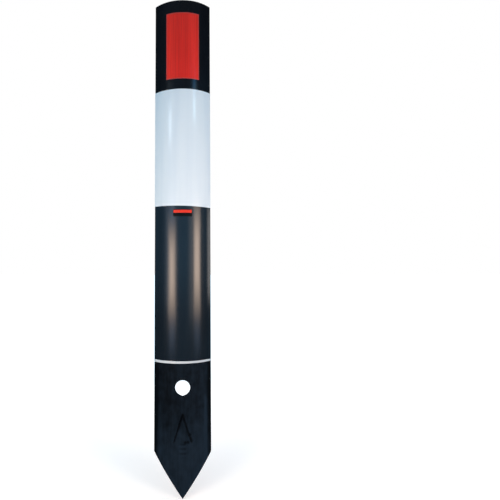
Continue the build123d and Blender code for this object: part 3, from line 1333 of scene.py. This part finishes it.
@dataclass
class Reflector(SubAssembly):
    """One reflector: adhesive backing, prism face and sealed border, on one face of the blade."""

    colour: str = "red"
    face: Face = Face.FRONT
    backing_sheet: float = 0.3 * MM
    face_sheet: float = 0.3 * MM
    seal_sheet: float = 0.35 * MM
    seal_width: float = 2.5 * MM
    corner: float = 1.5 * MM
    edge: float = 0.1 * MM
    backing_pitch: float = 5.0 * MM
    face_pitch: float = 3.0 * MM
    seal_pitch: float = 1.2 * MM
    cell: Span = (2.9 * MM, 2.6 * MM)  # real cells are about 0.2 mm; these are drawn to show
    cell_relief: float = 0.2 * MM
    cell_margin: float = 0.2 * MM
    cell_sunk: float = 0.02 * MM  # the cells start this far inside the plate
    stripe_cells: int = 3
    seed: int = 7

    def build(self) -> None:
        """Makes the backing, the prism face and the sealed border, all riding on the upper post."""
        lift, inner = GLUE + self.backing_sheet + GLUE, self.seal_width + GLUE
        under, border, over = [FilmSeat(self.curve, self.face, *layer) for layer in (
            (GLUE, self.backing_sheet), (lift, self.seal_sheet), (lift, self.face_sheet))]
        low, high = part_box(f"{self.colour}_reflector_backing")
        width = under.full_arc(high.x, 0.0)
        whole, window, pane = [
            rounded_rectangle(width - 2 * margin, low.z + margin, high.z - margin, self.corner, self.edge)
            for margin in (0.0, self.seal_width, inner)]
        backing = under.sheet(f"{self.colour}_backing", [whole], self.backing_pitch)
        seal = border.sheet(f"{self.colour}_seal", [whole, window[::-1]], self.seal_pitch)
        plate = over.sheet(f"{self.colour}_face", [pane], self.face_pitch)
        face = self.cells(plate, width - 2 * inner, high.z - low.z - 2 * inner, (low.z + high.z) / 2,
                          lift + self.face_sheet)
        for piece, slot, layer in ((new_object(backing), "adhesive_backing", "backing"),
                                   (face, f"{self.colour}_prismatic_film", "face"),
                                   (new_object(seal), f"{self.colour}_edge_seal", "seal")):
            self.keep(piece, slot, [f"{self.colour}_reflector_{layer}"], "upper_post")

    def cells(self, plate: Mesh, width: float, height: float, middle: float, lift: float) -> Object:
        """Covers the face plate with prism cells.

        Args:
            plate: The plate's mesh.
            width: Width of the plate along the arc.
            height: Its height.
            middle: Height of its middle.
            lift: How far its open side stands off the blade.
        Returns:
            The face piece, in the second finish.
        """
        width, height = width - 2 * self.cell_margin, height - 2 * self.cell_margin
        columns, rows = round(width / self.cell[0]), round(height / self.cell[1])
        ground = FilmSeat(self.curve, self.face, lift - self.cell_sunk, 0.0).radius(0.0)
        tree = bpy.data.node_groups.get("Prism cells") or prism_tree()
        return grown(plate.name, tree, {
            "Width": width, "Height": height, "Columns": columns, "Rows": rows,
            "Relief": self.cell_relief + self.cell_sunk, "Stripe": self.stripe_cells * width / columns,
            "Radius": ground, "Side": float(self.face.value), "Centre": self.curve.centre_y,
            "Middle": middle, "Seed": self.seed, "Finish": self.finishes[1].material()}, plate)


@dataclass(frozen=True)
class StripLight:
    """An upright strip light that faces the post, brightest in its middle. Metres.

    The bearing is in degrees from straight ahead of the front, positive to the right seen from the front.
    A fade makes the strip of several layers, each that much shorter at both ends than the one behind it.
    """

    name: str
    bearing: float
    distance: float
    bottom: float
    top: float
    width: float
    radiance: float
    colour: str
    fade: float = 0.0
    layers: int = 3  # where there is a fade
    layer_gap: float = 0.01
    spread: float = 0.2  # each layer's width differs from the next one's by this share
    mirrored: bool = True  # whether shiny surfaces show it

    def build(self) -> None:
        """Adds the light, layer by layer from the rear."""
        layers = self.layers if self.fade else 1
        turn = math.radians(self.bearing)
        for n in range(layers):
            lamp = bpy.data.lights.new(f"{self.name} {n}", "AREA")
            lamp.shape = "RECTANGLE"
            lamp.size = self.width * (1 + self.spread * (layers // 2 - n))
            lamp.size_y = self.top - self.bottom - 2 * n * self.fade
            lamp.energy = self.radiance / layers * math.pi * lamp.size * lamp.size_y
            lamp.color = linear(self.colour)[:3]
            away = self.distance - self.layer_gap * n
            spot = Vector((away * math.sin(turn), -away * math.cos(turn), 0.0))
            holder = bpy.data.objects.new(lamp.name, lamp)
            holder.rotation_euler = (-spot).to_track_quat("-Z", "Y").to_euler()
            holder.location = (spot.x, spot.y, (self.bottom + self.top) / 2)
            holder.visible_camera = False
            holder.visible_glossy = self.mirrored
            bpy.context.scene.collection.objects.link(holder)


@dataclass
class Studio:
    """Floor, round card, surround, lights and camera. Metres, and millimetres in a fade."""

    floor_drop: float = 2.0 * MM  # the floor lies this far under the tip
    floor_half: float = 40.0
    floor_paint: str = "#eef0f1"
    floor_glow: tuple[str, str] = ("#978682", "#ffffff")  # at the post and away from it
    glow_reach: float = 1.5  # the glow is whole this far from the origin
    card_radius: float = 2.0
    card_top: float = 3.2
    card_steps: int = 48
    card_tones: tuple[str, str, str] = ("#6f93b0", "#8cd0ff", "#3e3e44")  # foot, body and head
    card_body: Fade = Fade(-150.0, 300.0)  # heights between which the foot turns into the body
    card_head: Fade = Fade(900.0, 1750.0)  # heights between which the body turns into the head
    card_strength: Fade = Fade(-1700.0, -600.0, 0.75, 0.38)  # brighter ahead of the post than behind it
    surround_light: str = "#6ba5bf"
    surround_white: str = "#ffffff"
    camera_back: float = 1.040  # distance of the camera ahead of the blade's axis
    camera_height: float = 0.2485
    camera_pitch: float = 2.88  # degrees upwards
    lens: float = 27.4  # millimetres on Blender's 36 mm sensor
    shift: float = 0.1347  # the photograph shows the post left of its middle
    lights: tuple[StripLight, ...] = (
        StripLight("left strip", -32.2, 0.97, 0.0, 0.475, 0.29, 9.2, "#ffe1c9", fade=0.06, spread=0.45),
        StripLight("right strip", 44.2, 0.98, 0.01, 0.61, 0.31, 9.0, "#ffe1c9", fade=0.08),
        StripLight("left dim strip", -32.2, 0.97, 0.43, 0.64, 0.27, 1.2, "#b9d6ff"),
        StripLight("left cool strip", -38.8, 0.97, 0.9, 1.12, 0.17, 7.5, "#e0f1ff", fade=0.05),
        StripLight("right cool strip", 36.2, 0.98, 1.02, 1.18, 0.15, 6.8, "#c9efff", fade=0.03),
        StripLight("right blue strip", 36.2, 0.98, 1.18, 1.38, 0.13, 2.0, "#2ca4f4"),
        StripLight("left low strip", -32.2, 0.97, -0.17, 0.02, 0.3, 1.1, "#a9ceff", fade=0.03),
        StripLight("right low strip", 44.2, 0.98, -0.17, 0.02, 0.3, 0.8, "#a9ceff", fade=0.03),
        StripLight("left soft strip", -47.0, 0.97, 0.05, 0.6, 0.2, 0.6, "#e6eeff"),
        StripLight("right soft strip", 26.0, 0.98, 0.0, 0.6, 0.24, 0.6, "#fff0e2"),
        StripLight("edge strip", 88.0, 0.98, 0.1, 0.57, 0.25, 2.4, "#fff6ee"),
        StripLight("left fill", -40.0, 0.7, -0.12, 0.22, 0.3, 5.4, "#ffe5c0", mirrored=False),
        StripLight("right fill", 45.0, 0.7, -0.12, 0.22, 0.3, 2.6, "#ffd2b4", mirrored=False),
        StripLight("rear left strip", 144.0, 0.98, 0.02, 0.95, 0.24, 4.0, "#ffe9d6", fade=0.08),
        StripLight("rear right strip", 216.0, 0.98, 0.02, 0.95, 0.24, 4.0, "#ffe9d6", fade=0.08),
        StripLight("rear fill", 180.0, 1.1, 0.0, 1.0, 0.6, 2.5, "#ffd8b2", mirrored=False),
    )

    def build(self) -> None:
        """Makes all of them."""
        bpy.context.scene.view_settings.view_transform = "Standard"
        self.add_floor()
        self.add_card()
        self.add_surround()
        for light in self.lights:
            light.build()
        self.add_camera()

    @property
    def floor_level(self) -> float:
        """Height of the floor."""
        return CAD_BOX[0].z - self.floor_drop

    def eye(self, tree: NodeTree) -> Source:
        """Adds a value of 1 for what the camera sees, straight or in mirrors and glass, and 0 for light.

        Args:
            tree: The tree of a material or of the surround.
        Returns:
            The value.
        """
        path = add_node(tree, "ShaderNodeLightPath")
        seen = path.outputs["Is Camera Ray"]
        for ray in ("Is Glossy Ray", "Is Transmission Ray"):
            seen = add_node(tree, MATH, {0: seen, 1: path.outputs[ray]}, operation="MAXIMUM")
        return seen

    def staged(self, mesh: Mesh, paint: str) -> tuple[Object, NodeTree]:
        """Puts a piece of the studio in place, with an empty material.

        Args:
            mesh: Its mesh.
            paint: Name of its material.
        Returns:
            The piece and its material's tree.
        """
        piece = new_object(mesh)
        material = bare_material(paint)
        mesh.materials.append(material)
        return piece, material.node_tree

    def add_floor(self) -> None:
        """Adds a pale matt floor. It looks white, with the post's shadow left on it.

        Its glow rises away from the post, where the lights fall off.
        """
        level, half = self.floor_level, self.floor_half
        mesh = bpy.data.meshes.new("floor")
        corners = [(x * half, y * half, level) for x, y in ((-1, -1), (1, -1), (1, 1), (-1, 1))]
        mesh.from_pydata(corners, [], [(0, 1, 2, 3)])
        _, tree = self.staged(mesh, "pale floor paint")
        paint = add_node(tree, "ShaderNodeBsdfDiffuse", {"Color": linear(self.floor_paint)})
        place = add_node(tree, "ShaderNodeTexCoord").outputs["Object"]
        away = add_node(tree, VECTOR_MATH, {0: place}, operation="LENGTH").outputs["Value"]
        share = add_node(tree, MAP_RANGE, {"Value": away, "From Min": -level, "From Max": self.glow_reach})
        near, far = self.floor_glow
        tone = add_node(tree, MIX, {0: share, 6: linear(near), 7: linear(far)}, data_type="RGBA").outputs[2]
        glow = add_node(tree, "ShaderNodeEmission", {"Color": tone})
        lit = add_node(tree, "ShaderNodeAddShader", {0: paint, 1: glow})
        shown = add_node(tree, "ShaderNodeMixShader", {0: self.eye(tree), 1: paint, 2: lit})
        add_node(tree, "ShaderNodeOutputMaterial", {"Surface": shown})

    def add_card(self) -> None:
        """Adds a curved card round the post, which only mirrors see: bluish, with a dark top.

        It keeps the white surround out of the black polymer, as in the photograph.
        """
        model = bmesh.new()
        levels = (self.floor_level + MM, 0.0, self.card_top)
        foot = model.verts.new((0.0, 0.0, levels[0]))
        turns = [math.pi * (2 * n / self.card_steps - 1) for n in range(self.card_steps + 1)]
        rings = [[model.verts.new((self.card_radius * math.sin(t), -self.card_radius * math.cos(t), level))
                  for t in turns] for level in levels]
        for left, right in zip(rings[0], rings[0][1:]):
            model.faces.new((foot, left, right))
        for low, high in zip(rings, rings[1:]):
            for corners in zip(low, low[1:], high[1:], high):
                model.faces.new(corners)
        mesh = bpy.data.meshes.new("round_card")
        model.to_mesh(mesh)
        model.free()
        card, tree = self.staged(mesh, "bluish card")
        card.visible_camera = card.visible_diffuse = card.visible_shadow = False
        place = add_node(tree, "ShaderNodeTexCoord").outputs["Object"]
        _, depth, height = add_node(tree, SPLIT, {0: place}).outputs
        tone, *later_tones = (linear(colour) for colour in self.card_tones)
        for fade, later in zip((self.card_body, self.card_head), later_tones):
            share = fade.over(tree, height)
            tone = add_node(tree, MIX, {0: share, 6: tone, 7: later}, data_type="RGBA").outputs[2]
        strength = self.card_strength.over(tree, depth)
        glow = add_node(tree, "ShaderNodeEmission", {"Color": tone, "Strength": strength})
        add_node(tree, "ShaderNodeOutputMaterial", {"Surface": glow})

    def add_surround(self) -> None:
        """Adds a white surround that sheds a soft bluish light."""
        world = bpy.data.worlds.new("studio surround")
        bpy.context.scene.world = world
        world.use_nodes = True
        tree = world.node_tree
        tree.nodes.clear()
        fill, white = [add_node(tree, "ShaderNodeBackground", {"Color": linear(colour), "Strength": 1.0})
                       for colour in (self.surround_light, self.surround_white)]
        shown = add_node(tree, "ShaderNodeMixShader", {0: self.eye(tree), 1: fill, 2: white})
        add_node(tree, "ShaderNodeOutputWorld", {"Surface": shown})

    def add_camera(self) -> None:
        """Adds the camera at the photograph's viewing angle."""
        lens = bpy.data.cameras.new("camera")
        lens.lens, lens.shift_x = self.lens, self.shift
        camera = bpy.data.objects.new("camera", lens)
        camera.location = (0.0, -self.camera_back, self.camera_height)
        camera.rotation_euler = (math.radians(90 + self.camera_pitch), 0.0, 0.0)
        bpy.context.scene.collection.objects.link(camera)
        bpy.context.scene.camera = camera


def main() -> None:
    """Builds and dresses each sub-assembly in order, then the studio."""
    logging.basicConfig(level=logging.INFO, format="%(message)s")
    low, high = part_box("upper_blade")
    curve = BladeCurve(width=high.x - low.x, front_y=low.y)
    fold = FoldZone(curve)
    parts = [
        Stake(curve),
        fold,
        UpperPost(curve, bottom=fold.top),
        Reflector(curve, colour="red", face=Face.FRONT, finishes=(BACKING_GREY, PRISM_RED, SEAL_RED)),
        Reflector(curve, colour="white", face=Face.REAR, finishes=(BACKING_GREY, PRISM_WHITE, SEAL_WHITE)),
    ]
    for part in parts:
        part.build()
        part.dress()
        part.report()
    Studio().build()


if __name__ == "__main__":
    main()
